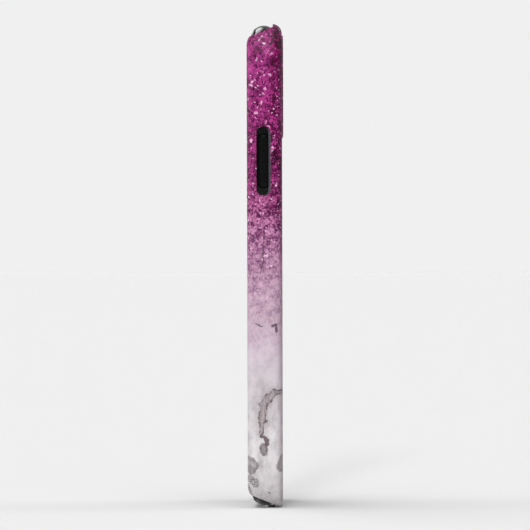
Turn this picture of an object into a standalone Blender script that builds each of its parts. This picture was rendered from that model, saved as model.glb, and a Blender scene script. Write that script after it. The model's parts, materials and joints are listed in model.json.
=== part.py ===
"""Two-piece slim phone case, empty: a printed hard shell over a flexible liner.

The case stands on its bottom end. X is its width, Y its depth with the back panel
towards +Y, and Z its height. The origin is the middle of its footprint.
"""
import math

import bmesh
import bpy
from mathutils import Vector

MM = 0.001

# The 6.1-inch phone that the case is made for
PHONE_WIDTH = 75.7 * MM
PHONE_HEIGHT = 150.9 * MM
PHONE_DEPTH = 8.3 * MM
PHONE_CORNER = 11.0 * MM
PHONE_EDGE = 4.1 * MM

# Walls and gaps, from the phone outwards
PHONE_CLEARANCE = 0.15 * MM
LINER_WALL = 0.8 * MM
LINER_BACK = 0.5 * MM
GAP = 0.3 * MM
SHELL_WALL = 1.1 * MM
BACK_CLEARANCE = 0.1 * MM
SCREEN_LIP_HEIGHT = 1.0 * MM

# Lips over the phone's front edge, and the rounding of the shell's rims
SHELL_LIP = 0.9 * MM
LINER_LIP = 1.3 * MM
SHELL_OPENING_CORNER = 8.5 * MM
FRONT_RIM = 2.4 * MM
BACK_RIM = 3.0 * MM
HEEL_RIM = 1.2 * MM
HEEL_HEIGHT = 13.0 * MM

# Raised lip and window for the camera, on the back near the side button
CAMERA_LIP_HEIGHT = 0.4 * MM
CAMERA_LIP_WIDTH = 1.8 * MM
CAMERA_WINDOW = (13.4 * MM, 29.4 * MM)
CAMERA_FROM_TOP = 20.2 * MM
CAMERA_FROM_PHONE_SIDE = 11.3 * MM
CAMERA_CORNER = 6.6 * MM

# Ends of the shell, cut open: height of the cut below the end, at three depths
CUT_START = 7.8 * MM
CUT_CORNER = (1.55 * MM, 3.68 * MM)
CUT_CORNER_TURN = 75
CUT_SLOPE_END = (2.1 * MM, 1.26 * MM)
REAR_LIP_TOP = 2.56 * MM
REAR_LIP_BOTTOM = 2.88 * MM

# Round end bumper of the liner, which fills the shell's open ends
BUMPER_RECESS = 0.5 * MM
BUMPER_DEPTH = 8.3 * MM
BUMPER_MIDDLE = -0.3 * MM
BUMPER_TRIM = 0.03 * MM
END_OPENING_INSET = 2.3 * MM

# Buttons: distances are from the case's top, lengths along Z
SLOT_WIDTH = 4.5 * MM
SLOT_CORNER = 1.9 * MM
BUTTON_DEPTH_MIDDLE = -0.5 * MM
BUTTON_WIDTH = 2.8 * MM
SIDE_SLOT_FROM_TOP = 44.3 * MM
SIDE_SLOT_LENGTH = 21.9 * MM
SIDE_BUTTON_LENGTH = 16.8 * MM
VOLUME_UP_FROM_TOP = 41.9 * MM
VOLUME_DOWN_FROM_TOP = 54.4 * MM
VOLUME_BUTTON_LENGTH = 9.6 * MM
VOLUME_SLOT_MARGIN = 2.4 * MM
MUTE_FROM_TOP = 27.4 * MM
MUTE_WINDOW = (5.6 * MM, 10.2 * MM)
BUTTON_SUNK = 0.3 * MM
BUTTON_POCKET = 0.35 * MM
BUTTON_EDGE = 0.45 * MM

# Openings in the liner's bottom end
PORT = (13.6 * MM, 5.6 * MM)
PORT_CORNER = 2.7 * MM
SPEAKER = (12.0 * MM, 2.2 * MM)
SPEAKER_FROM_MIDDLE = 17.5 * MM

# Worked out from the above
STEP_OUT = PHONE_CLEARANCE + LINER_WALL + GAP + SHELL_WALL
HALF_WIDTH = PHONE_WIDTH / 2 + STEP_OUT
HEIGHT = PHONE_HEIGHT + 2 * STEP_OUT
CORNER = PHONE_CORNER + STEP_OUT
BODY_DEPTH = SCREEN_LIP_HEIGHT + PHONE_DEPTH + BACK_CLEARANCE + LINER_BACK + GAP + SHELL_WALL
FRONT = -(BODY_DEPTH + CAMERA_LIP_HEIGHT) / 2
BACK = FRONT + BODY_DEPTH
LINER_INSET = SHELL_WALL + GAP
CAVITY_INSET = LINER_INSET + LINER_WALL
CAVITY_BACK = BACK - LINER_INSET - LINER_BACK
PHONE_MIDDLE = CAVITY_BACK - BACK_CLEARANCE - PHONE_DEPTH / 2
CAMERA_X = PHONE_WIDTH / 2 - CAMERA_FROM_PHONE_SIDE
LINER_FACE = HALF_WIDTH - LINER_INSET
CAVITY_FACE = HALF_WIDTH - CAVITY_INSET
FAR = 10 * MM

AXES = "XYZ"


def new_collection(name):
    collection = bpy.data.collections.new(name)
    bpy.context.scene.collection.children.link(collection)
    return collection


def material(name, colour, roughness, metallic=0.0):
    """Principled BSDF of one colour."""
    made = bpy.data.materials.new(name)
    made.use_nodes = True
    shader = made.node_tree.nodes["Principled BSDF"]
    shader.inputs["Base Color"].default_value = (*colour, 1)
    shader.inputs["Roughness"].default_value = roughness
    shader.inputs["Metallic"].default_value = metallic
    return made


def as_cutter(obj):
    """Hide a guide or cutter from the finished model."""
    obj.hide_render = True
    obj.display_type = "WIRE"
    return obj


def block(name, collection, axis, low, high, corner, segments=4, rims=(None, None), rim_segments=3):
    """Box with the four edges along an axis rounded, then the rims of its two end faces.

    A rim is a radius, or a function that gives the radius at a height."""
    across = AXES.index(axis)
    low, high = Vector(low), Vector(high)
    shape = bmesh.new()
    bmesh.ops.create_cube(shape, size=1)
    bmesh.ops.scale(shape, vec=high - low, verts=shape.verts)
    bmesh.ops.translate(shape, vec=(high + low) / 2, verts=shape.verts)
    along = [edge for edge in shape.edges
             if abs(edge.verts[0].co[across] - edge.verts[1].co[across]) > 1e-7]
    bmesh.ops.bevel(shape, geom=along, offset=corner, segments=segments, profile=0.5,
                    affect="EDGES")

    weights = shape.edges.layers.float.new("bevel_weight_edge")
    widest = max(radius_at(rim, height) for rim in rims for height in (low.z, high.z)) or 1
    for edge in shape.edges:
        places = [vert.co[across] for vert in edge.verts]
        height = sum(vert.co.z for vert in edge.verts) / 2
        for rim, level in zip(rims, (low[across], high[across])):
            if max(abs(place - level) for place in places) < 1e-7:
                edge[weights] = radius_at(rim, height) / widest

    mesh = bpy.data.meshes.new(name)
    shape.to_mesh(mesh)
    shape.free()
    mesh.shade_smooth()
    made = bpy.data.objects.new(name, mesh)
    collection.objects.link(made)
    if any(rims):
        bevel = made.modifiers.new("Rims", "BEVEL")
        bevel.limit_method = "WEIGHT"
        bevel.width = widest
        bevel.segments = rim_segments
    return made


def boolean(obj, operation, *others):
    """Union, difference or intersection with other objects, in turn."""
    for other in others:
        modifier = obj.modifiers.new(other.name, "BOOLEAN")
        modifier.operation = operation
        modifier.object = other
    return obj


def radius_at(rim, height):
    """A rim's radius at a height, from None, a number or a function."""
    if callable(rim):
        return rim(height)
    return rim or 0


def finished(obj, finish):
    """Give a piece its material, and shade it smooth between its flat faces."""
    obj.data.materials.append(finish)
    obj.modifiers.new("Shading", "WEIGHTED_NORMAL")
    return obj


def end_profile(rear_lip):
    """Outline of the cut across an end, as (depth, distance in from the end) points."""
    start = FRONT - 0.05 * MM
    points = [(FRONT - FAR, -FAR), (FRONT - FAR, CUT_START)]
    steps = 6
    for step in range(steps + 1):
        turn = math.radians(CUT_CORNER_TURN * step / steps)
        points.append((start + CUT_CORNER[0] * (1 - math.cos(turn)),
                       CUT_START - CUT_CORNER[1] * math.sin(turn)))
    points.append(CUT_SLOPE_END)
    points.append((rear_lip, CUT_SLOPE_END[1] - 0.2 * MM))
    points.append((rear_lip, -FAR))
    return points


def round_profile():
    """Outline of what a bumper's front round leaves clear, as the end profile's points."""
    front = BUMPER_MIDDLE - BUMPER_DEPTH / 2
    radius = PHONE_EDGE - BUMPER_TRIM
    middle = (front + PHONE_EDGE, BUMPER_RECESS + PHONE_EDGE)
    points = [(FRONT - FAR, -FAR), (FRONT - FAR, middle[1])]
    steps = 9
    for step in range(steps + 1):
        turn = math.radians(90 * step / steps)
        points.append((middle[0] - radius * math.cos(turn), middle[1] - radius * math.sin(turn)))
    points.append((middle[0], -FAR))
    return points


def end_prism(name, collection, points, top, shift=0.0):
    """Prism across the case's width from an end profile, moved in and forward by a shift."""
    curve = bpy.data.curves.new(name, "CURVE")
    curve.dimensions = "2D"
    curve.fill_mode = "BOTH"
    curve.extrude = HALF_WIDTH + FAR
    line = curve.splines.new("POLY")
    line.points.add(len(points) - 1)
    for point, (depth, inward) in zip(line.points, points):
        height = HEIGHT - inward + shift if top else inward - shift
        point.co = (depth - shift, height, 0, 1)
    line.use_cyclic_u = True
    guide = bpy.data.objects.new(name, curve)
    guide.rotation_euler = (math.pi / 2, 0, math.pi / 2)
    collection.objects.link(guide)
    return curve_to_mesh(guide, collection)


def curve_to_mesh(guide, collection):
    """Closed mesh object in place of a filled curve."""
    bpy.context.view_layer.update()
    graph = bpy.context.evaluated_depsgraph_get()
    mesh = bpy.data.meshes.new_from_object(guide.evaluated_get(graph))
    shape = bmesh.new()
    shape.from_mesh(mesh)
    bmesh.ops.remove_doubles(shape, verts=shape.verts, dist=1e-6)
    bmesh.ops.recalc_face_normals(shape, faces=shape.faces)
    shape.to_mesh(mesh)
    shape.free()
    made = bpy.data.objects.new(guide.name, mesh)
    made.matrix_world = guide.matrix_world.copy()
    bpy.data.objects.remove(guide)
    collection.objects.link(made)
    return as_cutter(made)


def back_rim(height):
    """Radius of the shell's rear rim: small at the heel, so that the case can stand."""
    rise = min(max(height / HEEL_HEIGHT, 0), 1)
    return HEEL_RIM + (BACK_RIM - HEEL_RIM) * rise * rise * (3 - 2 * rise)


def inner_back_rim(height):
    return max(back_rim(height) - SHELL_WALL, 0.3 * MM)


def slab(name, collection, inset, front, back, corner_inset, rims, segments=8, rim_segments=4):
    """Block with the case's outline, set in from it all round."""
    return block(name, collection, "Y",
                 (-HALF_WIDTH + inset, front, inset), (HALF_WIDTH - inset, back, HEIGHT - inset),
                 CORNER - corner_inset, segments, rims, rim_segments)


def camera_block(name, collection, grow, front, back, rims=(None, None)):
    """Block of the camera window's outline, grown all round."""
    width, height = CAMERA_WINDOW[0] / 2 + grow, CAMERA_WINDOW[1] / 2 + grow
    middle = HEIGHT - CAMERA_FROM_TOP
    return block(name, collection, "Y", (CAMERA_X - width, front, middle - height),
                 (CAMERA_X + width, back, middle + height), CAMERA_CORNER + grow, 6, rims, 2)


def side_block(name, collection, side, from_top, size, reach, corner, rims=(None, None)):
    """Block through a long side; side is 1 or -1, and reach is its nearest and farthest X."""
    ends = sorted((side * reach[0], side * reach[1]))
    middle = HEIGHT - from_top
    if side < 0:
        rims = rims[::-1]
    return block(name, collection, "X",
                 (ends[0], BUTTON_DEPTH_MIDDLE - size[0] / 2, middle - size[1] / 2),
                 (ends[1], BUTTON_DEPTH_MIDDLE + size[0] / 2, middle + size[1] / 2),
                 corner, 4, rims, 2)


def bottom_block(name, collection, x_middle, size, corner):
    """Block down through the liner's bottom end."""
    return block(name, collection, "Z",
                 (x_middle - size[0] / 2, PHONE_MIDDLE - size[1] / 2, -FAR),
                 (x_middle + size[0] / 2, PHONE_MIDDLE + size[1] / 2, CAVITY_INSET + 2 * MM),
                 corner, 4)


def button_sites():
    """Name, side, distance from the top and length of each button cover."""
    return (("side_button_cover", 1, SIDE_SLOT_FROM_TOP, SIDE_BUTTON_LENGTH),
            ("volume_up_cover", -1, VOLUME_UP_FROM_TOP, VOLUME_BUTTON_LENGTH),
            ("volume_down_cover", -1, VOLUME_DOWN_FROM_TOP, VOLUME_BUTTON_LENGTH))


def build_shell(parts, cutters, finish):
    """Hard shell: back panel, side walls with front lips and corner wraps, both ends open."""
    shell = slab("outer_shell", parts, 0, FRONT, BACK, 0, (FRONT_RIM, back_rim))
    inside = slab("shell_inside", cutters, SHELL_WALL, FRONT + SHELL_WALL, BACK - SHELL_WALL,
                  SHELL_WALL, (FRONT_RIM - SHELL_WALL, inner_back_rim))
    lip_inset = STEP_OUT + SHELL_LIP
    opening = slab("shell_opening", cutters, lip_inset, FRONT - FAR, FRONT + 2 * SHELL_WALL,
                   CORNER - SHELL_OPENING_CORNER, (None, None))
    camera_lip = camera_block("camera_lip", cutters, CAMERA_LIP_WIDTH, BACK - SHELL_WALL / 2,
                              BACK + CAMERA_LIP_HEIGHT, (None, 0.3 * MM))
    camera_hole = camera_block("shell_camera_window", cutters, 0, BACK - FAR / 2, BACK + FAR)

    reach = (HALF_WIDTH - 2 * SHELL_WALL, HALF_WIDTH + FAR)
    volume_length = (VOLUME_DOWN_FROM_TOP - VOLUME_UP_FROM_TOP + VOLUME_BUTTON_LENGTH
                     + 2 * VOLUME_SLOT_MARGIN)
    volume_middle = (VOLUME_DOWN_FROM_TOP + VOLUME_UP_FROM_TOP) / 2
    slots = [side_block("side_slot", cutters, 1, SIDE_SLOT_FROM_TOP,
                        (SLOT_WIDTH, SIDE_SLOT_LENGTH), reach, SLOT_CORNER),
             side_block("volume_slot", cutters, -1, volume_middle,
                        (SLOT_WIDTH, volume_length), reach, SLOT_CORNER),
             side_block("mute_slot", cutters, -1, MUTE_FROM_TOP, MUTE_WINDOW, reach, SLOT_CORNER)]
    ends = [end_prism("top_cut", cutters, end_profile(REAR_LIP_TOP), True),
            end_prism("bottom_cut", cutters, end_profile(REAR_LIP_BOTTOM), False)]

    boolean(shell, "UNION", as_cutter(camera_lip))
    boolean(shell, "DIFFERENCE", *[as_cutter(cut) for cut in (inside, opening, camera_hole)])
    boolean(shell, "DIFFERENCE", *[as_cutter(cut) for cut in slots + ends])
    return finished(shell, finish)


def build_liner(parts, cutters, finish):
    """Flexible tray inside the shell, thicker where it fills the shell's open ends."""
    front = FRONT + LINER_INSET
    liner = slab("inner_liner", parts, LINER_INSET, front, BACK - LINER_INSET, LINER_INSET,
                 (FRONT_RIM - LINER_INSET, BACK_RIM - LINER_INSET))
    bumpers = []
    for name, rear_lip, top in (("top", REAR_LIP_TOP, True), ("bottom", REAR_LIP_BOTTOM, False)):
        bumper = slab(name + "_bumper", cutters, BUMPER_RECESS, BUMPER_MIDDLE - BUMPER_DEPTH / 2,
                      BUMPER_MIDDLE + BUMPER_DEPTH / 2, BUMPER_RECESS, (PHONE_EDGE, PHONE_EDGE),
                      rim_segments=6)
        fill = end_prism(name + "_fill", cutters, end_profile(rear_lip), top, GAP)
        bumpers.append(as_cutter(boolean(bumper, "INTERSECT", fill)))
    cavity = slab("phone_space", cutters, CAVITY_INSET,
                  CAVITY_BACK - PHONE_DEPTH - 2 * BACK_CLEARANCE, CAVITY_BACK, CAVITY_INSET,
                  (PHONE_EDGE, PHONE_EDGE), rim_segments=6)
    lip_inset = STEP_OUT + LINER_LIP
    opening = block("liner_opening", cutters, "Y",
                    (-HALF_WIDTH + lip_inset, FRONT - FAR, END_OPENING_INSET),
                    (HALF_WIDTH - lip_inset, PHONE_MIDDLE, HEIGHT - END_OPENING_INSET),
                    CORNER - lip_inset, 8)
    rounds = [end_prism("top_round", cutters, round_profile(), True),
              end_prism("bottom_round", cutters, round_profile(), False)]
    camera_hole = camera_block("liner_camera_window", cutters, -0.4 * MM, BACK - FAR / 2,
                               BACK + FAR)
    reach = (CAVITY_FACE - 2 * MM, HALF_WIDTH + FAR)
    windows = [side_block(name + "_window", cutters, side, from_top,
                          (BUTTON_WIDTH + 2 * GAP, length + 2 * GAP), reach,
                          BUTTON_WIDTH / 2 + GAP / 2)
               for name, side, from_top, length in button_sites()]
    mute = tuple(length - 0.8 * MM for length in MUTE_WINDOW)
    windows.append(side_block("liner_mute_window", cutters, -1, MUTE_FROM_TOP, mute, reach,
                              SLOT_CORNER - 0.4 * MM))
    windows.append(bottom_block("port", cutters, 0, PORT, PORT_CORNER))
    for side, name in ((-1, "microphone"), (1, "speaker")):
        windows.append(bottom_block(name, cutters, side * SPEAKER_FROM_MIDDLE, SPEAKER,
                                    SPEAKER[1] / 2 - 0.1 * MM))
    boolean(liner, "UNION", *bumpers)
    boolean(liner, "DIFFERENCE", *rounds)
    boolean(liner, "DIFFERENCE", *[as_cutter(cut) for cut in [cavity, opening, camera_hole]])
    boolean(liner, "DIFFERENCE", *[as_cutter(cut) for cut in windows])
    return finished(liner, finish)


def build_button_cover(parts, finish, name, side, from_top, length):
    """Rounded bar in the liner's window, whose own axis is the way that it is pressed."""
    cover = side_block(name, parts, side, from_top, (BUTTON_WIDTH, length),
                       (CAVITY_FACE + BUTTON_POCKET, HALF_WIDTH - BUTTON_SUNK),
                       BUTTON_WIDTH / 2 - 0.05 * MM, (None, BUTTON_EDGE))
    axis_point = Vector((side * LINER_FACE, BUTTON_DEPTH_MIDDLE, HEIGHT - from_top))
    for vert in cover.data.vertices:
        vert.co -= axis_point
    cover.location = axis_point
    return finished(cover, finish)


def main():
    for obj in list(bpy.data.objects):
        bpy.data.objects.remove(obj)
    parts = new_collection("phone_case")
    cutters = new_collection("cutters")
    build_shell(parts, cutters, material("printed_shell", (0.55, 0.25, 0.42), 0.32))
    build_liner(parts, cutters, material("liner", (0.012, 0.012, 0.014), 0.22))
    buttons = material("button_covers", (0.016, 0.016, 0.018), 0.25)
    for site in button_sites():
        build_button_cover(parts, buttons, *site)


main()
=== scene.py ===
"""Looks of the empty two-piece phone case: printed hard shell, glossy dark liner, button covers.

Sizes are in metres. X is the case's width, Y its depth with the back panel towards +Y, and
Z its height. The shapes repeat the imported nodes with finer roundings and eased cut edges.
"""
import json
import math

import bmesh
import bpy
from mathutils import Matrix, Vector

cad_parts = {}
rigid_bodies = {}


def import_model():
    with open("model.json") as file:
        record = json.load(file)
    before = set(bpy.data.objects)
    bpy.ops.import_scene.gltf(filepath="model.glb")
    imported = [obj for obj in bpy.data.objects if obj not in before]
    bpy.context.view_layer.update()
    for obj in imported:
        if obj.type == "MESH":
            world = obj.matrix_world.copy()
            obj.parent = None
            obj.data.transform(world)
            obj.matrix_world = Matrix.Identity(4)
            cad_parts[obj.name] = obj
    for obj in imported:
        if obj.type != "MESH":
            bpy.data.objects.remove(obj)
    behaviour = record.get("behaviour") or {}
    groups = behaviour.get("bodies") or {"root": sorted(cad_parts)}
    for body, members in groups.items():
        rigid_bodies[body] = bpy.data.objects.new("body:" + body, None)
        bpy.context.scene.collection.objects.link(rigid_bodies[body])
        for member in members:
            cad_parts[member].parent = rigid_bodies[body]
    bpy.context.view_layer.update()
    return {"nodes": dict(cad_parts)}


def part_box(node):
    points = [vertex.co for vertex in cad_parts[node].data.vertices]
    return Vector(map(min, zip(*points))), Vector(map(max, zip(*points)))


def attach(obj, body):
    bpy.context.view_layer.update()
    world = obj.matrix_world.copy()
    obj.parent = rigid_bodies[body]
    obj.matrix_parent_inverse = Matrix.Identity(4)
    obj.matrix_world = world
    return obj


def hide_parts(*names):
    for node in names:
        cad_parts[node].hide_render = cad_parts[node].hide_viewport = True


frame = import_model()

MM = 0.001

# Outline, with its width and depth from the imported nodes
shell_low, shell_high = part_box("outer_shell")
CAMERA_LIP_HEIGHT = 0.4 * MM
HALF_WIDTH = shell_high.x
FRONT = shell_low.y
BACK = shell_high.y - CAMERA_LIP_HEIGHT
HEIGHT = 155.6 * MM
CORNER = 13.35 * MM

# Walls, lips and roundings
SHELL_WALL = 1.1 * MM
GAP = 0.3 * MM
LINER_INSET = SHELL_WALL + GAP
CAVITY_INSET = LINER_INSET + 0.8 * MM
CAVITY_BACK = BACK - LINER_INSET - 0.5 * MM
PHONE_DEPTH = 8.3 * MM
BACK_CLEARANCE = 0.1 * MM
PHONE_MIDDLE = CAVITY_BACK - BACK_CLEARANCE - PHONE_DEPTH / 2
PHONE_EDGE = 4.1 * MM
SHELL_LIP_INSET = 3.25 * MM
SHELL_OPENING_CORNER = 8.5 * MM
LINER_LIP_INSET = 3.65 * MM
END_OPENING_INSET = 2.3 * MM
FRONT_RIM = 2.4 * MM
BACK_RIM = 3.0 * MM
HEEL_RIM = 1.2 * MM
HEEL_HEIGHT = 13.0 * MM
LEAST_RIM = 0.3 * MM
EASED_EDGE = 0.18 * MM

# Angles in degrees above which an edge is shaded as a sharp one
CREASE = 32
LINER_CREASE = 22

# How far cutters reach past what they cut, and how close points are joined
FAR = 10 * MM
WINDOW_REACH = 3 * MM
PORT_REACH = 2 * MM
EASE_OVERSHOOT = 1.05
FLARE_OVERSHOOT = 1.02
WELD = 0.004 * MM

# Camera window in the back
CAMERA_X = 26.55 * MM
CAMERA_Z = HEIGHT - 20.2 * MM
CAMERA_HALF = (6.7 * MM, 14.7 * MM)
CAMERA_CORNER = 6.6 * MM
CAMERA_LIP_WIDTH = 1.8 * MM
CAMERA_LIP_ROUND = 0.3 * MM
LINER_WINDOW_GROWTH = -0.4 * MM
LINER_WINDOW_EASE = 0.12 * MM

# Cuts across the shell's open ends, and the bumpers of the liner that fill them
REAR_LIP = {"top": 2.56 * MM, "bottom": 2.88 * MM}
CUT_START = 7.8 * MM
CUT_AHEAD = 0.05 * MM
CUT_TURN = 75
CUT_CORNER = (1.55 * MM, 3.68 * MM)
CUT_SLOPE_END = (2.1 * MM, 1.26 * MM)
CUT_LAST_RISE = 0.2 * MM
BUMPER_RECESS = 0.5 * MM
BUMPER_DEPTH = 8.3 * MM
BUMPER_MIDDLE = -0.3 * MM
BUMPER_GAP = 0.08 * MM
BUMPER_SHAVE = 0.03 * MM

# Openings in the liner's bottom end: place in X, half sizes, corner radius
PORT_EASE = 0.25 * MM
PORTS = (("port", 0, 6.8 * MM, 2.8 * MM, 2.7 * MM),
         ("microphone", -17.5 * MM, 6.0 * MM, 1.1 * MM, 1.0 * MM),
         ("speaker", 17.5 * MM, 6.0 * MM, 1.1 * MM, 1.0 * MM))

# Slots on the long sides: side, middle height, half sizes in Y and Z. Their rear wall moves in
# by the lean for each unit of depth.
BUTTON_Y = -0.5 * MM
SLOT_CORNER = 1.9 * MM
SLOT_LEAN = 0.75
SIDE_SLOT = (1, 111.3 * MM, 2.25 * MM, 10.95 * MM)
VOLUME_SLOT = (-1, 107.45 * MM, 2.25 * MM, 13.45 * MM)
MUTE_SLOT = (-1, 128.2 * MM, 2.8 * MM, 5.1 * MM)
MUTE_EASE = 0.1 * MM

# Windows of the liner round the button covers, and the low collar that backs each slot
WINDOW_GAP = {1: 0.3 * MM, -1: 0.18 * MM}
WINDOW_CORNER_LESS = 0.1 * MM
WINDOW_FLARE_LENGTH = 0.1 * MM
COLLAR_CLEARANCE = 0.05 * MM
COLLAR_HEIGHT = 0.2 * MM
COLLAR_ROOT = 0.4 * MM
COLLAR_BRIM = 0.06 * MM

# Button covers: node, body, side, middle height, half length. The bar starts at a share of the
# skirt's height, and its crown's rings close in by a power, with slightly tighter corners.
BUTTON_HALF_WIDTH = 1.4 * MM
BUTTON_FOOT = 0.35 * MM
BUTTON_RECESS = 0.3 * MM
BUTTON_EDGE = 0.35 * MM
BUTTON_CROWN = 0.16 * MM
BUTTON_END_LESS = 0.05 * MM
SKIRT_CLEARANCE = 0.01 * MM
SKIRT_HEIGHT = 0.3 * MM
BAR_START = 1.1
CROWN_POWER = 0.8
CROWN_CORNER = 0.96
BUTTONS = (("side_button_cover", "side_button", 1, 111.3 * MM, 8.4 * MM),
           ("volume_up_cover", "volume_up", -1, 113.7 * MM, 4.8 * MM),
           ("volume_down_cover", "volume_down", -1, 101.2 * MM, 4.8 * MM))

# Material numbers of the shell
PRINTED = 0
BARE = 1
CUTTER_FINISHES = (BARE, PRINTED, PRINTED, PRINTED, PRINTED)


# Shapes

def outline(half_a, half_b, radius, steps):
    """Points of a rounded rectangle, anticlockwise, with the outward normal at each."""
    points = []
    for corner, (sign_a, sign_b) in enumerate(((1, 1), (-1, 1), (-1, -1), (1, -1))):
        for step in range(steps + 1):
            turn = math.radians(90 * (corner + step / steps))
            normal = Vector((math.cos(turn), math.sin(turn)))
            middle = Vector((sign_a * (half_a - radius), sign_b * (half_b - radius)))
            points.append((middle + radius * normal, normal))
    return points


def skin(name, rings, finishes=None):
    """Closed mesh object over rings of points, with a material number for each band."""
    shape = bmesh.new()
    loops = [[shape.verts.new(point) for point in ring] for ring in rings]
    count = len(loops[0])
    for band, (low, high) in enumerate(zip(loops, loops[1:])):
        for index in range(count):
            after = (index + 1) % count
            face = shape.faces.new((low[index], low[after], high[after], high[index]))
            face.material_index = finishes[band] if finishes else PRINTED
    for loop, band in ((loops[0], 0), (loops[-1], -1)):
        face = shape.faces.new(loop)
        face.material_index = finishes[band] if finishes else PRINTED
    bmesh.ops.remove_doubles(shape, verts=shape.verts, dist=WELD)
    bmesh.ops.recalc_face_normals(shape, faces=shape.faces)
    mesh = bpy.data.meshes.new(name)
    shape.to_mesh(mesh)
    shape.free()
    made = bpy.data.objects.new(name, mesh)
    bpy.context.collection.objects.link(made)
    return made


def loft(name, axis, centre, rings, steps=10, finishes=None):
    """Solid along an axis from rings of (level, half size, half size, corner radius)."""
    order = {"X": (1, 2, 0), "Y": (0, 2, 1), "Z": (0, 1, 2)}[axis]
    built = []
    for level, half_a, half_b, radius in rings:
        ring = []
        for (a, b), normal in outline(half_a, half_b, radius, steps):
            point = [0, 0, 0]
            point[order[0]] = centre[0] + a
            point[order[1]] = centre[1] + b
            point[order[2]] = level
            ring.append(Vector(point))
        built.append(ring)
    return skin(name, built, finishes)


def radius_at(rim, height):
    """Radius of a rim, which is a length or a function of height."""
    return rim(height) if callable(rim) else rim


def slab(name, inset, front, back, rims=(0, 0), steps=24, turns=8, finish=PRINTED):
    """Solid of the case's outline set in all round, with its front and back rims rounded."""
    points = outline(HALF_WIDTH - inset, HEIGHT / 2 - inset, CORNER - inset, steps)
    rings = []
    for rim, level, away, order in ((rims[0], front, 1, range(turns, -1, -1)),
                                    (rims[1], back, -1, range(turns + 1))):
        for turn in order if rim else (0,):
            angle = math.radians(90 * turn / turns)
            ring = []
            for (a, b), normal in points:
                radius = radius_at(rim, b + HEIGHT / 2)
                inward = Vector((a, b)) - normal * radius * (1 - math.cos(angle))
                depth = level + away * radius * (1 - math.sin(angle))
                ring.append(Vector((inward.x, depth, inward.y + HEIGHT / 2)))
            rings.append(ring)
    return skin(name, rings, [finish] * (len(rings) - 1))


def back_rim(height):
    """Rounding of the shell's back rim, tighter towards the bottom end."""
    rise = min(max(height / HEEL_HEIGHT, 0), 1)
    return HEEL_RIM + (BACK_RIM - HEEL_RIM) * rise * rise * (3 - 2 * rise)


def inner_back_rim(height):
    return max(back_rim(height) - SHELL_WALL, LEAST_RIM)


def as_cutter(obj):
    obj.hide_render = True
    obj.hide_viewport = True
    return obj


def boolean(obj, operation, *others):
    """Add a modifier for each of the others, which are hidden until they are deleted."""
    for other in others:
        modifier = obj.modifiers.new(other.name, "BOOLEAN")
        modifier.operation = operation
        modifier.object = as_cutter(other)
    return obj


def applied(obj):
    """Give the object the mesh that its modifiers make, without slivers."""
    graph = bpy.context.evaluated_depsgraph_get()
    obj.data = bpy.data.meshes.new_from_object(obj.evaluated_get(graph))
    obj.modifiers.clear()
    shape = bmesh.new()
    shape.from_mesh(obj.data)
    bmesh.ops.remove_doubles(shape, verts=shape.verts, dist=WELD)
    bmesh.ops.dissolve_degenerate(shape, edges=shape.edges, dist=WELD)
    shape.to_mesh(obj.data)
    shape.free()
    return obj


def smoothed(obj, crease=CREASE):
    obj.data.shade_smooth()
    obj.data.set_sharp_from_angle(angle=math.radians(crease))
    shading = obj.modifiers.new("shading", "WEIGHTED_NORMAL")
    shading.keep_sharp = True
    return obj


def eased_rings(low, surface, half_a, half_b, radius, ease=EASED_EDGE):
    """Rings of a cutter from inside a wall out through its face, with an eased rim."""
    away = 1 if surface > low else -1
    rings = [(low, half_a, half_b, radius)]
    for turn in range(4):
        angle = math.radians(30 * turn)
        grow = ease * (1 - math.cos(angle))
        level = surface - away * ease * (1 - math.sin(angle))
        rings.append((level, half_a + grow, half_b + grow, radius + grow))
    grow = ease * EASE_OVERSHOOT
    rings.append((surface + away * FAR, half_a + grow, half_b + grow, radius + grow))
    return rings


def round_profile():
    """Outline of what a bumper's front round leaves clear, as (depth, distance in) points."""
    middle = (BUMPER_MIDDLE - BUMPER_DEPTH / 2 + PHONE_EDGE, BUMPER_RECESS + PHONE_EDGE)
    radius = PHONE_EDGE - BUMPER_SHAVE
    profile = [(FRONT - FAR, -FAR), (FRONT - FAR, middle[1])]
    for step in range(19):
        turn = math.radians(5 * step)
        profile.append((middle[0] - radius * math.cos(turn),
                        middle[1] - radius * math.sin(turn)))
    return profile + [(middle[0], -FAR)]


def cut_profile(end):
    """Outline of the cut across an end of the shell, as (depth, distance in) points."""
    start = FRONT - CUT_AHEAD
    profile = [(FRONT - FAR, -FAR), (FRONT - FAR, CUT_START)]
    steps = 12
    for step in range(steps + 1):
        turn = math.radians(CUT_TURN * step / steps)
        profile.append((start + CUT_CORNER[0] * (1 - math.cos(turn)),
                        CUT_START - CUT_CORNER[1] * math.sin(turn)))
    return profile + [CUT_SLOPE_END, (REAR_LIP[end], CUT_SLOPE_END[1] - CUT_LAST_RISE),
                      (REAR_LIP[end], -FAR)]


def end_prism(name, end, profile, shift=0.0):
    """Prism across the width on an end's profile, moved in and forward by a shift."""
    rings = []
    for side in (-1, 1):
        ring = []
        for depth, inward in profile:
            height = HEIGHT - inward + shift if end == "top" else inward - shift
            ring.append(Vector((side * (HALF_WIDTH + FAR), depth - shift, height)))
        rings.append(ring)
    return skin(name, rings, [BARE])


def slot_cutter(name, slot):
    """Cutter of a long side's slot, whose rear wall leans in with depth."""
    side, middle, half_width, half_length = slot
    inner = HALF_WIDTH - 2 * SHELL_WALL
    rings = eased_rings(side * inner, side * HALF_WIDTH, half_width, half_length, SLOT_CORNER)
    cutter = loft(name, "X", (BUTTON_Y, middle), rings, 12, CUTTER_FINISHES)
    for vertex in cutter.data.vertices:
        depth = HALF_WIDTH - EASED_EDGE - abs(vertex.co.x)
        if depth > 0 and vertex.co.y > BUTTON_Y:
            vertex.co.y -= (vertex.co.y - BUTTON_Y) * SLOT_LEAN * depth / half_width
    return cutter


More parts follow.
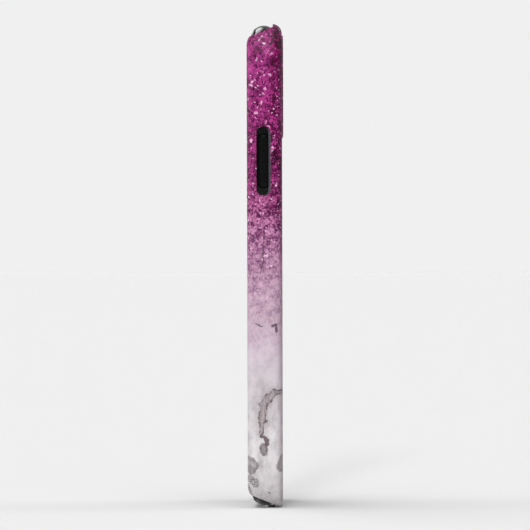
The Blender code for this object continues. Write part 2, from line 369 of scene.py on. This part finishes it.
def camera_rings(low, surface, grow, ease=EASED_EDGE):
    """Rings of a cutter for the camera window, grown or shrunk all round."""
    return eased_rings(low, surface, CAMERA_HALF[0] + grow, CAMERA_HALF[1] + grow,
                       CAMERA_CORNER + grow, ease)


def front_opening(name, side_inset, end_inset, back, corner):
    """Block that cuts the opening for the screen."""
    size = (HALF_WIDTH - side_inset, HEIGHT / 2 - end_inset, corner)
    return loft(name, "Y", (0, HEIGHT / 2), [(FRONT - FAR, *size), (back, *size)], 24, [BARE])


def camera_lip():
    """Raised lip round the camera window, with a rounded top edge."""
    lip_top = BACK + CAMERA_LIP_HEIGHT
    lip_size = [size + CAMERA_LIP_WIDTH for size in (*CAMERA_HALF, CAMERA_CORNER)]
    rings = [(BACK - SHELL_WALL / 2, *lip_size)]
    for turn in range(5):
        angle = math.radians(22.5 * turn)
        inward = CAMERA_LIP_ROUND * (1 - math.cos(angle))
        rings.append((lip_top - CAMERA_LIP_ROUND * (1 - math.sin(angle)),
                      *[size - inward for size in lip_size]))
    return loft("camera_lip", "Y", (CAMERA_X, CAMERA_Z), rings, 16)


def build_shell(finishes):
    shell = slab("printed_shell", 0, FRONT, BACK, (FRONT_RIM, back_rim))
    inside = slab("shell_inside", SHELL_WALL, FRONT + SHELL_WALL, BACK - SHELL_WALL,
                  (FRONT_RIM - SHELL_WALL, inner_back_rim), finish=BARE)
    opening = front_opening("shell_opening", SHELL_LIP_INSET, SHELL_LIP_INSET,
                            FRONT + 2 * SHELL_WALL, SHELL_OPENING_CORNER)
    lip = camera_lip()
    hole = loft("shell_camera_window", "Y", (CAMERA_X, CAMERA_Z),
                camera_rings(BACK - FAR / 2, BACK + CAMERA_LIP_HEIGHT, 0), 16, CUTTER_FINISHES)
    slots = [slot_cutter("side_slot", SIDE_SLOT), slot_cutter("volume_slot", VOLUME_SLOT),
             slot_cutter("mute_slot", MUTE_SLOT)]
    ends = [end_prism(end + "_cut", end, cut_profile(end)) for end in ("top", "bottom")]
    for obj in (shell, inside, opening, lip, hole, *slots, *ends):
        give(obj, finishes)
    boolean(shell, "UNION", lip)
    boolean(shell, "DIFFERENCE", inside, opening, hole, *slots, *ends)
    return smoothed(applied(shell))


def bumper_block(end):
    """Part of the liner that fills an open end of the shell."""
    bumper = slab(end + "_bumper", BUMPER_RECESS, BUMPER_MIDDLE - BUMPER_DEPTH / 2,
                  BUMPER_MIDDLE + BUMPER_DEPTH / 2, (PHONE_EDGE, PHONE_EDGE), turns=12)
    fill = end_prism(end + "_fill", end, cut_profile(end), BUMPER_GAP)
    return boolean(bumper, "INTERSECT", fill)


def window_size(side, half_length, less=0.0):
    """Half width, half length and corner radius of a button's window in the liner."""
    gap = WINDOW_GAP[side] - less
    return (BUTTON_HALF_WIDTH + gap, half_length + gap,
            BUTTON_HALF_WIDTH + gap - WINDOW_CORNER_LESS)


def collar_size(slot):
    """Half width, half length and corner radius of the collar behind a slot."""
    return [size - COLLAR_CLEARANCE for size in (*slot[2:], SLOT_CORNER)]


def collar_block(name, slot):
    """Low block that the liner raises behind a slot, short of the shell's inner face."""
    side, middle = slot[:2]
    face = HALF_WIDTH - LINER_INSET
    size = collar_size(slot)
    return loft(name, "X", (BUTTON_Y, middle),
                [(side * (face - COLLAR_ROOT), *size), (side * (face + COLLAR_HEIGHT), *size)], 12)


def button_window(name, slot, middle, half_length):
    """Cutter of a button's window, which widens in Y through the collar."""
    side = slot[0]
    face = HALF_WIDTH - LINER_INSET
    window = window_size(side, half_length)
    collar = collar_size(slot)
    wide = (collar[0] - COLLAR_BRIM, window[1] + WINDOW_FLARE_LENGTH, collar[2])
    rings = [(side * (face - WINDOW_REACH), *window), (side * face, *window)]
    steps = 4
    for step in range(1, steps + 1):
        share = step / steps
        rings.append((side * (face + COLLAR_HEIGHT * FLARE_OVERSHOOT * share),
                      *[low + (high - low) * share for low, high in zip(window, wide)]))
    rings.append((side * (HALF_WIDTH + FAR), *rings[-1][1:]))
    return loft(name, "X", (BUTTON_Y, middle), rings, 12)


def mute_window():
    """Cutter of the liner's window under the mute slot."""
    side, middle, half_width, half_length = MUTE_SLOT
    face = HALF_WIDTH - LINER_INSET
    rings = eased_rings(side * (face - WINDOW_REACH), side * face,
                        half_width + LINER_WINDOW_GROWTH, half_length + LINER_WINDOW_GROWTH,
                        SLOT_CORNER + LINER_WINDOW_GROWTH, MUTE_EASE)
    return loft("liner_mute_window", "X", (BUTTON_Y, middle), rings)


def build_liner(finish):
    liner = slab("liner_tray", LINER_INSET, FRONT + LINER_INSET, BACK - LINER_INSET,
                 (FRONT_RIM - LINER_INSET, BACK_RIM - LINER_INSET))
    bumpers = [bumper_block(end) for end in ("top", "bottom")]
    rounds = [end_prism(end + "_round", end, round_profile()) for end in ("top", "bottom")]
    cavity = slab("phone_space", CAVITY_INSET, CAVITY_BACK - PHONE_DEPTH - 2 * BACK_CLEARANCE,
                  CAVITY_BACK, (PHONE_EDGE, PHONE_EDGE), turns=10)
    opening = front_opening("liner_opening", LINER_LIP_INSET, END_OPENING_INSET, PHONE_MIDDLE,
                            CORNER - LINER_LIP_INSET)
    hole = loft("liner_camera_window", "Y", (CAMERA_X, CAMERA_Z),
                camera_rings(CAVITY_BACK - FAR, BACK - LINER_INSET, LINER_WINDOW_GROWTH,
                             LINER_WINDOW_EASE), 16)
    bottom = [loft(name, "Z", (middle, PHONE_MIDDLE),
                   eased_rings(CAVITY_INSET + PORT_REACH, BUMPER_RECESS, *size, PORT_EASE))
              for name, middle, *size in PORTS]
    collars = [collar_block("side_collar", SIDE_SLOT), collar_block("volume_collar", VOLUME_SLOT)]
    windows = [button_window(name + "_window", SIDE_SLOT if side > 0 else VOLUME_SLOT, middle,
                             half_length)
               for name, _, side, middle, half_length in BUTTONS]
    applied(boolean(liner, "UNION", *bumpers))
    applied(boolean(liner, "DIFFERENCE", *rounds))
    applied(boolean(liner, "DIFFERENCE", cavity, opening, hole, *bottom))
    boolean(liner, "UNION", *collars)
    boolean(liner, "DIFFERENCE", *windows, mute_window())
    give(liner, [finish])
    return smoothed(applied(liner), LINER_CREASE)


def build_button(name, side, middle, half_length, finish):
    """Bar with a crowned face and rounded ends, standing in its window of the liner."""
    foot = HALF_WIDTH - CAVITY_INSET + BUTTON_FOOT
    shoulder = HALF_WIDTH - BUTTON_RECESS - BUTTON_CROWN
    flat = BUTTON_HALF_WIDTH - BUTTON_EDGE
    end_radius = BUTTON_HALF_WIDTH - BUTTON_END_LESS
    skirt = window_size(side, half_length, SKIRT_CLEARANCE)
    rings = [(side * foot, *skirt), (side * (foot + SKIRT_HEIGHT), *skirt),
             (side * (foot + SKIRT_HEIGHT * BAR_START), BUTTON_HALF_WIDTH, half_length,
              end_radius)]
    for turn in range(5):
        angle = math.radians(20 * turn)
        inward = BUTTON_EDGE * (1 - math.cos(angle))
        rings.append((side * (shoulder - BUTTON_EDGE * (1 - math.sin(angle))),
                      BUTTON_HALF_WIDTH - inward, half_length - inward, end_radius - inward))
    steps = 6
    for step in range(1, steps):
        across = flat * (1 - step / steps) ** CROWN_POWER
        level = shoulder + BUTTON_CROWN * (1 - (across / flat) ** 2)
        rings.append((side * level, across, half_length - BUTTON_HALF_WIDTH + across,
                      across * CROWN_CORNER))
    bar = loft(name.replace("cover", "bar"), "X", (BUTTON_Y, middle), rings, 12)
    give(bar, [finish])
    return smoothed(bar)


def give(obj, finishes):
    for finish in finishes:
        obj.data.materials.append(finish)
    return obj


# Materials

def srgb(red, green, blue):
    """Linear colour of an 8-bit sRGB one."""
    linear = [value / 255 / 12.92 if value <= 10 else ((value / 255 + 0.055) / 1.055) ** 2.4
              for value in (red, green, blue)]
    return (*linear, 1)


class Graph:
    """Short way to write a material's nodes."""

    def __init__(self, owner):
        owner.use_nodes = True
        self.tree = owner.node_tree

    def node(self, kind, inputs=None, **settings):
        made = self.tree.nodes.new("ShaderNode" + kind)
        for name, value in settings.items():
            setattr(made, name, value)
        for name, value in (inputs or {}).items():
            self.put(made.inputs[name], value)
        return made

    def put(self, socket, value):
        if isinstance(value, bpy.types.NodeSocket):
            self.tree.links.new(value, socket)
        else:
            socket.default_value = value

    def math(self, operation, *values, clamp=False):
        made = self.node("Math", dict(enumerate(values)), operation=operation, use_clamp=clamp)
        return made.outputs[0]

    def times(self, first, *others):
        """Product of two or more values."""
        for other in others:
            first = self.math("MULTIPLY", first, other)
        return first

    def vector(self, operation, *values):
        made = self.node("VectorMath", dict(enumerate(values)), operation=operation)
        return made.outputs["Value" if operation in ("DOT_PRODUCT", "DISTANCE", "LENGTH")
                            else "Vector"]

    def scale(self, vector, factor):
        return self.node("VectorMath", {0: vector, "Scale": factor},
                         operation="SCALE").outputs[0]

    def fade(self, value, low, high, to_low=0.0, to_high=1.0):
        """Smooth step of a value between two others."""
        made = self.node("MapRange", {"Value": value, "From Min": low, "From Max": high,
                                      "To Min": to_low, "To Max": to_high},
                         interpolation_type="SMOOTHSTEP")
        return made.outputs[0]

    def ramp(self, value, low, high, stops):
        """Colour ramp over a value's range, from (value, colour) stops."""
        place = self.node("MapRange", {"Value": value, "From Min": low,
                                       "From Max": high}).outputs[0]
        made = self.node("ValToRGB", {"Fac": place})
        points = made.color_ramp.elements
        while len(points) < len(stops):
            points.new(1)
        for point, (at, colour) in zip(points, stops):
            point.position = (at - low) / (high - low)
            point.color = colour
        return made.outputs["Color"]

    def mix(self, factor, first, second, blend="MIX"):
        made = self.node("Mix", data_type="RGBA", blend_type=blend)
        self.put(made.inputs[0], factor)
        self.put(made.inputs[6], first)
        self.put(made.inputs[7], second)
        return made.outputs[2]

    def tint(self, factor, base, colour):
        """Colour multiplied by another as far as a factor says."""
        return self.mix(factor, base, self.mix(1.0, base, colour, "MULTIPLY"))

    def shifted(self, place, noise, reach):
        """Place moved by a noise colour, as far as a reach says."""
        return self.vector("ADD", place, self.scale(
            self.vector("SUBTRACT", noise, (0.5, 0.5, 0.5)), reach))

    def noise(self, vector, scale, detail=2.0, roughness=0.5, distortion=0.0, output=0):
        return self.node("TexNoise", {"Vector": vector, "Scale": scale, "Detail": detail,
                                      "Roughness": roughness,
                                      "Distortion": distortion}).outputs[output]

    def capsule(self, place, start, end, radius):
        """Distance from a place to a rounded bar between two points."""
        way = Vector(end) - Vector(start)
        across = self.vector("SUBTRACT", place, tuple(start))
        along = self.vector("DOT_PRODUCT", across, tuple(way / max(way.length_squared, 1e-9)))
        nearest = self.scale(tuple(way), self.math("ADD", along, 0.0, clamp=True))
        return self.math("SUBTRACT", self.vector("DISTANCE", across, nearest), radius)


def greys(stops):
    return [(at, (value, value, value, 1)) for at, value in stops]


def tints(stops):
    return [(at, (*colour, 1)) for at, colour in stops]


def colours(stops):
    return [(at, srgb(*colour)) for at, colour in stops]


def new_material(name):
    """Material with its graph, its shader and the place on the object in millimetres."""
    made = bpy.data.materials.new(name)
    g = Graph(made)
    shader = made.node_tree.nodes["Principled BSDF"]
    place = g.scale(g.node("TexCoord").outputs["Object"], 1000.0)
    return made, g, shader, place


# Print: heights in millimetres with 8-bit colours, and tints that a colour is multiplied by
PRINT_TOP = 156
PRINT_SHADE = 0.7
PRINT_BY_HEIGHT = (
    (0, (222, 218, 220)), (24, (221, 216, 219)), (38, (217, 209, 214)), (49, (214, 200, 210)),
    (54, (209, 191, 203)), (59, (200, 176, 190)), (69, (193, 161, 181)), (74, (183, 144, 168)),
    (80, (176, 130, 159)), (85, (169, 114, 148)), (90, (165, 104, 142)), (95, (150, 78, 121)),
    (100, (146, 64, 115)), (105, (134, 54, 103)), (112, (126, 42, 95)), (120, (130, 44, 98)),
    (131, (146, 44, 110)), (141, (148, 52, 116)), (149, (132, 42, 100)), (156, (104, 26, 76)))
GLITTER_BY_HEIGHT = ((40, 0), (54, 0.14), (70, 0.42), (88, 0.8), (100, 1), (156, 1))
SHINE_BY_HEIGHT = ((45, (218, 200, 211)), (70, (226, 188, 210)), (90, (224, 158, 200)),
                   (104, (192, 68, 148)), (156, (192, 64, 148)))
SPARKLE_COLOUR = (250, 200, 234)
BLOTCH_TINTS = ((0.3, (0.42, 0.22, 0.45)), (0.45, (0.88, 0.75, 0.88)), (0.55, (1.1, 1.05, 1.1)),
                (0.7, (1.4, 1.5, 1.4)))
CLOUD_TINTS = ((0.3, (0.80, 0.79, 0.79)), (0.5, (1, 1, 1)), (0.7, (1.06, 1.06, 1.05)))
STREAK_TINTS = ((0.34, (0.74, 0.73, 0.73)), (0.5, (0.98, 0.98, 0.98)), (0.66, (1.1, 1.1, 1.09)))
# Painted shade: darkens the rear half of the button side and makes its magenta deeper
REAR_HALF_SHADE_TINT = (0.56, 0.14, 0.50, 1)
DARK_FLAKE_TINT = (0.30, 0.07, 0.32, 1)
# Painted shade on the rear of the button side near the top
REAR_TOP_SHADE_TINT = (0.62, 0.28, 0.52, 1)
# Painted shade on the back rim of the button side
REAR_RIM_SHADE_TINT = (0.80, 0.74, 0.78, 1)

# Flakes: cells per millimetre, coarse and fine. Sparkles: cells per millimetre, share of cells
# left plain, reach, strength.
FLAKE_CELLS = 1.7
FINE_FLAKE_CELLS = 3.4
SPARKLES = ((1.5, 0.93, 0.55, 0.75), (0.9, 0.95, 0.55, 0.95))

# Colours inside the stone's bands, patches and curls, by a noise or a distance
BAND_COLOURS = ((0.34, (138, 126, 130)), (0.66, (182, 172, 173)))
PATCH_COLOURS = ((-1.8, (182, 174, 176)), (-0.9, (152, 144, 146)), (0.6, (112, 104, 107)))
CURL_COLOURS = ((0.38, (70, 62, 64)), (0.46, (176, 168, 169)), (0.52, (220, 214, 215)),
                (0.57, (92, 84, 86)))

# Plain colours of the bands' surround, of the dark edges and of the short marks
SURROUND_COLOUR = (150, 138, 142)
BAND_EDGE_COLOUR = (92, 78, 83)
PATCH_EDGE_COLOUR = (100, 90, 92)
MARK_COLOUR = (84, 64, 73)

# Colours of the bare plastic, the liner and the button rubber, by a noise. The bare plastic's dark
# grey is painted shade: it is how pale plastic looks in the slots' shade.
BARE_SHADED_COLOURS = ((0.3, (66, 65, 72)), (0.7, (78, 76, 84)))
LINER_COLOURS = ((0.3, (5, 6, 6)), (0.7, (9, 10, 10)))
RUBBER_COLOURS = ((0.3, (4, 5, 5)), (0.7, (8, 9, 9)))

# Dots on the liner's inner back: radians per millimetre, and the height in Y that they lie at
DOT_RATE = 4.2
DOT_LEVEL = 3.55

# Marks in the stone pattern on the button side, in millimetres: start, end, half width
STONE_BANDS = (
    ((4.9, 37.5), (2.9, 37.2), 0.5), ((2.9, 37.2), (0.7, 35.5), 0.9),
    ((0.7, 35.5), (-0.8, 33.4), 1.15), ((-0.8, 33.4), (-1.0, 28.0), 1.2),
    ((-1.0, 28.0), (-1.5, 24.4), 0.6))
STONE_PATCHES = (
    ((-6.2, 15.4), (-4.1, 13.8), 1.7), ((-5.0, 13.0), (-4.4, 11.8), 1.0),
    ((5.8, 15.8), (4.9, 13.6), 1.7), ((-0.9, 20.0), (-0.5, 18.0), 1.0))
STONE_CURLS = (((-5.2, 9.6), (-3.4, 8.0), 1.2), ((-5.8, 7.2), (-4.8, 4.6), 0.5))
STONE_MARKS = (
    ((-0.3, 88.2), (-0.62, 84.5), 0.13), ((-0.62, 84.5), (-0.8, 79.0), 0.17),
    ((-0.8, 79.0), (-1.5, 75.2), 0.15),
    ((-1.7, 23.4), (-0.6, 23.1), 0.4), ((-0.6, 23.1), (0.5, 21.6), 0.5),
    ((0.5, 21.6), (0.5, 20.4), 0.55), ((0.5, 20.4), (0.0, 17.8), 0.12),
    ((0.9, 5.0), (1.2, 5.0), 0.22), ((-2.9, 58.9), (-1.2, 58.1), 0.16),
    ((2.3, 58.5), (3.6, 58.7), 0.4), ((3.6, 58.7), (3.5, 56.8), 0.36))


def stroke_field(g, place, strokes):
    """Distance to the nearest of some strokes on a long side, negative inside them."""
    field = None
    for (y0, z0), (y1, z1), half_width in strokes:
        one = g.capsule(place, (0, y0, z0), (0, y1, z1), half_width)
        field = one if field is None else g.math("SMOOTH_MIN", field, one, 0.25)
    return field


def with_glitter(g, base, place, warped, height):
    """Base colour under blotches, flakes and sparkles; also the flakes' tone and amount."""
    amount = g.ramp(height, 0, PRINT_TOP, greys(GLITTER_BY_HEIGHT))
    blotch = g.noise(warped, 0.42, 2.0, 0.55)
    base = g.tint(amount, base, g.ramp(blotch, 0.3, 0.7, tints(BLOTCH_TINTS)))
    flake = g.node("TexVoronoi", {"Vector": warped, "Scale": FLAKE_CELLS})
    coarse_tone = g.node("SeparateColor", {0: flake.outputs["Color"]}).outputs[0]
    fine = g.node("TexVoronoi", {"Vector": warped, "Scale": FINE_FLAKE_CELLS})
    fine_tone = g.node("SeparateColor", {0: fine.outputs["Color"]}).outputs[1]
    tone = g.math("ADD", g.times(coarse_tone, 0.74), g.times(fine_tone, 0.26))
    tone = g.math("MULTIPLY_ADD", g.math("SUBTRACT", blotch, 0.5), 0.7, tone)
    dark = g.times(g.fade(tone, 0.42, 0.22), g.times(amount, 0.95))
    base = g.tint(dark, base, DARK_FLAKE_TINT)
    bright = g.times(g.fade(tone, 0.58, 0.78), g.times(amount, 0.8))
    base = g.mix(bright, base, g.ramp(height, 0, PRINT_TOP, colours(SHINE_BY_HEIGHT)))
    for scale, share, reach, strength in SPARKLES:
        spark = g.node("TexVoronoi", {"Vector": warped, "Scale": scale})
        pick = g.node("SeparateColor", {0: spark.outputs["Color"]}).outputs[2]
        ragged = g.math("MULTIPLY_ADD", g.noise(place, 3.2, 2.0, 0.7), 1.1,
                        g.math("SUBTRACT", spark.outputs["Distance"], 0.55))
        sparkle = g.times(g.math("GREATER_THAN", pick, share),
                          g.fade(ragged, reach, reach - 0.25),
                          g.fade(height, 42, 84, 0.0, strength))
        base = g.mix(sparkle, base, srgb(*SPARKLE_COLOUR))
    return base, tone, amount


def with_clouds(g, base, warped, height):
    """Base colour under the stone's clouds and slanting streaks."""
    cloud = g.noise(warped, 0.16, 3.0, 0.6)
    base = g.tint(g.times(g.fade(height, 62, 42), 0.9), base,
                  g.ramp(cloud, 0.3, 0.7, tints(CLOUD_TINTS)))
    slanted = g.node("Mapping", {"Vector": warped, "Rotation": (math.radians(38), 0.5, 0),
                                 "Scale": (0.9, 0.9, 0.35)}).outputs[0]
    return g.tint(g.times(g.fade(height, 46, 34), 0.75), base,
                  g.ramp(g.noise(slanted, 0.55, 3.0, 0.6), 0.34, 0.66, tints(STREAK_TINTS)))


def with_stone_marks(g, base, place, warped, y, z, near):
    """Base colour under the stone's bands, patches, curls and short marks."""
    low = g.fade(z, 52, 42)
    bent = g.shifted(place, g.noise(place, 0.35, 4.0, 0.65, output=1), 2.2)
    parts = g.node("SeparateXYZ", {0: bent})
    flat = g.node("CombineXYZ", {1: parts.outputs[1], 2: parts.outputs[2]}).outputs[0]
    ragged = g.math("MULTIPLY_ADD", g.noise(place, 1.5, 3.0, 0.7), 1.1, -0.55)
    broken = g.fade(g.noise(place, 0.7, 2.0), 0.38, 0.58, 0.1, 1.0)

    # Bands: the placed ones on the button side, and a noise's contour everywhere else
    placed = g.math("ADD", stroke_field(g, flat, STONE_BANDS),
                    g.math("ADD", ragged, g.math("MULTIPLY_ADD", near, -8.0, 8.0)))
    wide = g.noise(bent, 0.055, 3.0, 0.55, 0.6)
    contour = g.times(g.math("ABSOLUTE", g.math("SUBTRACT", wide, 0.5)), 45.0)
    elsewhere = g.math("SUBTRACT", g.math("SUBTRACT", contour, 0.9), g.times(near, -6.0))
    band = g.math("SMOOTH_MIN", placed, elsewhere, 0.3)
    halo = g.times(g.fade(band, 2.4, 0.0), low)
    base = g.mix(g.times(halo, 0.32), base, srgb(*SURROUND_COLOUR))
    drawn = g.node("Mapping", {"Vector": warped, "Scale": (1, 1, 0.2)}).outputs[0]
    streak = g.noise(drawn, 1.1, 2.0)
    body = g.times(g.fade(band, 0.1, -0.3), low)
    base = g.mix(g.times(body, 0.88), base, g.ramp(streak, 0.34, 0.66, colours(BAND_COLOURS)))

    # Patches and curls, then the dark edges of the bands and patches, then the marks
    patch = g.math("ADD", stroke_field(g, flat, STONE_PATCHES), ragged)
    inside = g.times(g.fade(patch, 0.35, -0.35), g.times(near, low))
    depth = g.math("MULTIPLY_ADD", g.math("SUBTRACT", streak, 0.5), 3.0, patch)
    base = g.mix(g.times(inside, 0.9), base, g.ramp(depth, -1.8, 0.6, colours(PATCH_COLOURS)))
    curl = g.math("ADD", stroke_field(g, flat, STONE_CURLS), ragged)
    swirl = g.noise(place, 0.95, 2.0, 0.6, 2.5)
    curls = g.times(g.fade(curl, 0.3, -0.2), near)
    base = g.mix(g.times(curls, 0.9), base, g.ramp(swirl, 0.4, 0.6, colours(CURL_COLOURS)))
    edge = g.times(g.fade(g.math("ABSOLUTE", band), 0.42, 0.04), low)
    base = g.mix(g.times(edge, broken), base, srgb(*BAND_EDGE_COLOUR))
    rim = g.times(g.fade(g.math("ABSOLUTE", patch), 0.4, 0.05),
                  g.times(near, g.fade(y, -5.4, -3.6, 0.0, 0.8)))
    base = g.mix(g.times(rim, broken, g.fade(y, 2.0, 0.5)), base, srgb(*PATCH_EDGE_COLOUR))
    mark = g.math("MULTIPLY_ADD", ragged, 0.45, stroke_field(g, flat, STONE_MARKS))
    return g.mix(g.times(g.fade(mark, 0.2, -0.15), near, 0.85), base, srgb(*MARK_COLOUR))


def print_material():
    """Glitter at the top that thins out into pale veined stone, printed on satin plastic, with
    painted shade on the rear of the button side.
    """
    made, g, shader, place = new_material("glitter_to_stone_print")
    x, y, z = g.node("SeparateXYZ", {0: place}).outputs

    # Height that the colours follow, uneven round the case, and nearness to the button side
    drift = g.math("MULTIPLY_ADD", g.noise(place, 0.11, 1.0), 9.0, -4.5)
    height = g.math("ADD", z, drift)
    near = g.fade(x, 30, 36)
    warped = g.shifted(place, g.noise(place, 1.1, 2.0, output=1), 1.5)

    base = g.ramp(height, 0, PRINT_TOP, colours(PRINT_BY_HEIGHT))
    # Painted shade: the rear half of the button side is darkened and its magenta deepened, from
    # the middle height up
    base = g.tint(g.times(g.fade(y, 0.2, 2.6), g.fade(height, 78, 104), near), base, REAR_HALF_SHADE_TINT)
    base, tone, glitter = with_glitter(g, base, place, warped, height)
    # Painted shade: the rear of the button side is darker near the top
    rear_top_shade = g.times(g.fade(y, 0.8, 2.6), g.fade(height, 130, 142), near)
    base = g.tint(rear_top_shade, base, REAR_TOP_SHADE_TINT)
    # Painted shade: the back rim of the button side is darker, where it turns away from the light
    base = g.tint(g.times(g.fade(y, 3.6, 5.2), near), base, REAR_RIM_SHADE_TINT)
    base = with_clouds(g, base, warped, height)
    base = with_stone_marks(g, base, place, warped, y, z, near)
    base = g.mix(1.0, base, (PRINT_SHADE, PRINT_SHADE, PRINT_SHADE, 1), "MULTIPLY")

    bump = g.node("Bump", {"Height": tone, "Strength": 0.12, "Distance": 0.00004})
    g.put(shader.inputs["Base Color"], base)
    g.put(shader.inputs["Roughness"], g.math("ADD", g.times(tone, glitter, 0.12), 0.34))
    g.put(shader.inputs["Normal"], bump.outputs[0])
    shader.inputs["Specular IOR Level"].default_value = 0.16
    return made


def substrate_material():
    """Bare plastic under the print, seen on cut walls and inside, in the dark grey that pale
    plastic shows in shade: painted shade.
    """
    made, g, shader, place = new_material("bare_plastic")
    grain = g.noise(place, 3.0, 3.0)
    g.put(shader.inputs["Base Color"], g.ramp(grain, 0.3, 0.7, colours(BARE_SHADED_COLOURS)))
    g.put(shader.inputs["Roughness"], g.fade(grain, 0.3, 0.7, 0.38, 0.5))
    return made


def liner_material():
    """Glossy dark flexible plastic, with a fine dot pattern on the inner back."""
    made, g, shader, place = new_material("glossy_dark_liner")
    x, y, z = g.node("SeparateXYZ", {0: place}).outputs
    smear = g.noise(place, 0.18, 4.0, 0.6)
    grain = g.noise(place, 6.0, 2.0)
    wave = g.times(g.math("SINE", g.times(x, DOT_RATE)), g.math("SINE", g.times(z, DOT_RATE)))
    dots = g.times(g.fade(wave, 0.1, 0.75), g.fade(y, 3.35, 3.5))
    inner = g.fade(g.math("ABSOLUTE", g.math("SUBTRACT", y, DOT_LEVEL)), 0.2, 0.05)
    height = g.math("ADD", g.times(dots, inner), g.times(grain, 0.06))
    bump = g.node("Bump", {"Height": height, "Strength": 0.35, "Distance": 0.00008})
    g.put(shader.inputs["Base Color"], g.ramp(smear, 0.3, 0.7, colours(LINER_COLOURS)))
    g.put(shader.inputs["Roughness"], g.fade(smear, 0.3, 0.7, 0.06, 0.12))
    g.put(shader.inputs["Normal"], bump.outputs[0])
    return made


def button_material():
    """Dark rubbery plastic, satin where the liner is glossy."""
    made, g, shader, place = new_material("dark_button_rubber")
    smear = g.noise(place, 0.6, 3.0, 0.6)
    grain = g.noise(place, 9.0, 2.0)
    bump = g.node("Bump", {"Height": grain, "Strength": 0.15, "Distance": 0.00003})
    g.put(shader.inputs["Base Color"], g.ramp(smear, 0.3, 0.7, colours(RUBBER_COLOURS)))
    g.put(shader.inputs["Roughness"], g.fade(smear, 0.3, 0.7, 0.32, 0.42))
    g.put(shader.inputs["Normal"], bump.outputs[0])
    shader.inputs["Specular IOR Level"].default_value = 0.1
    return made


# Stage: a wide pale floor, a plain background and soft studio light

BACKGROUND = srgb(240, 240, 240)
FLOOR_SHADE = 0.637
FLOOR_HALF = 60
FLOOR_DEPTH = 0.05

# Soft lamps of the studio: direction, full and zero angles in degrees, radiance. Then the
# radiance of its walls, the bright strip overhead and the low key light.
LAMPS = (((0.34, -0.06, 0.94), 12, 26, 3.3), ((0.74, 0.0, 0.67), 12, 26, 2.0),
         ((-0.2, -1.0, 0.1), 12, 28, 1.1), ((0.46, -0.88, 0.15), 13, 26, 2.2),
         ((-0.68, -0.32, 0.62), 9, 18, 3.4))
ROOM_FRONT = 0.16
ROOM_BACK = 0.06
ROOM_FAR_SIDE = 0.3
STRIP_X = -0.2
STRIP_RADIANCE = 1.9
KEY_TOWARDS = (1, -0.08, 0.28)
KEY_STRENGTH = 1.8
KEY_SPREAD = 5

# View from the button side, in metres, degrees and millimetres of lens
VIEW_PLACE = (2.0, -0.00013, 0.07798)
VIEW_ROLL = 0.16
VIEW_LENS = 416


def floor_material():
    made, _, shader, _ = new_material("pale_floor")
    shader.inputs["Base Color"].default_value = (FLOOR_SHADE, FLOOR_SHADE, FLOOR_SHADE, 1)
    shader.inputs["Roughness"].default_value = 0.9
    shader.inputs["Specular IOR Level"].default_value = 0.0
    return made


def build_stage():
    corners = ((-1, -1), (1, -1), (1, 1), (-1, 1))
    floor = skin("floor", [[Vector((FLOOR_HALF * a, FLOOR_HALF * b, level)) for a, b in corners]
                           for level in (-FLOOR_DEPTH, 0)])
    give(floor, [floor_material()])
    return floor


def lamp_light(g, direction, towards, inner, outer, strength):
    """Soft round light in the sky: full within one angle of a direction, none beyond another."""
    facing = g.vector("DOT_PRODUCT", direction, tuple(Vector(towards).normalized()))
    return g.fade(facing, math.cos(math.radians(outer)), math.cos(math.radians(inner)), 0.0,
                  strength)


def build_light():
    """Plain background for the eye, and a soft studio round the case for the light."""
    world = bpy.data.worlds.new("studio")
    bpy.context.scene.world = world
    g = Graph(world)
    direction = g.node("TexCoord").outputs["Generated"]
    x, y, z = g.node("SeparateXYZ", {0: direction}).outputs
    room = g.math("ADD", g.fade(y, -0.9, 0.9, ROOM_FRONT, ROOM_BACK),
                  g.fade(x, 0.2, -0.9, 0.0, ROOM_FAR_SIDE))
    strip = g.times(g.fade(g.math("ABSOLUTE", g.math("SUBTRACT", x, STRIP_X)), 0.2, 0.08),
                    g.fade(z, 0.1, 0.4, 0.0, STRIP_RADIANCE), g.fade(y, -0.3, 0.6, 1.0, 0.75))
    light = g.math("ADD", room, strip)
    for lamp in LAMPS:
        light = g.math("ADD", light, lamp_light(g, direction, *lamp))
    background = world.node_tree.nodes["Background"]
    seen = g.node("LightPath").outputs["Is Camera Ray"]
    tint = g.node("CombineColor", {0: light, 1: light, 2: light}).outputs[0]
    g.put(background.inputs["Color"], g.mix(seen, tint, BACKGROUND))
    sun = bpy.data.lights.new("low_key", "SUN")
    sun.energy = KEY_STRENGTH
    sun.angle = math.radians(KEY_SPREAD)
    key = bpy.data.objects.new("low_key", sun)
    bpy.context.collection.objects.link(key)
    key.visible_glossy = False
    key.rotation_euler = Vector(KEY_TOWARDS).to_track_quat("Z", "Y").to_euler()


def build_camera():
    data = bpy.data.cameras.new("camera")
    camera = bpy.data.objects.new("camera", data)
    bpy.context.collection.objects.link(camera)
    camera.location = VIEW_PLACE
    camera.rotation_euler = (math.pi / 2, math.radians(VIEW_ROLL), math.pi / 2)
    data.lens = VIEW_LENS
    bpy.context.scene.camera = camera


def remove_cutters():
    """Delete the hidden solids that only shaped others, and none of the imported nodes."""
    for obj in list(bpy.data.objects):
        if obj.hide_render and obj.type == "MESH" and obj.name not in frame["nodes"]:
            bpy.data.objects.remove(obj)


def main():
    bpy.context.scene.view_settings.view_transform = "Standard"
    shell = build_shell([print_material(), substrate_material()])
    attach(shell, "case")
    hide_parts("outer_shell")
    liner = build_liner(liner_material())
    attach(liner, "case")
    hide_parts("inner_liner")
    rubber = button_material()
    for node, body, side, middle, half_length in BUTTONS:
        bar = build_button(node, side, middle, half_length, rubber)
        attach(bar, body)
        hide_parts(node)
    remove_cutters()
    build_stage()
    build_light()
    build_camera()


main()
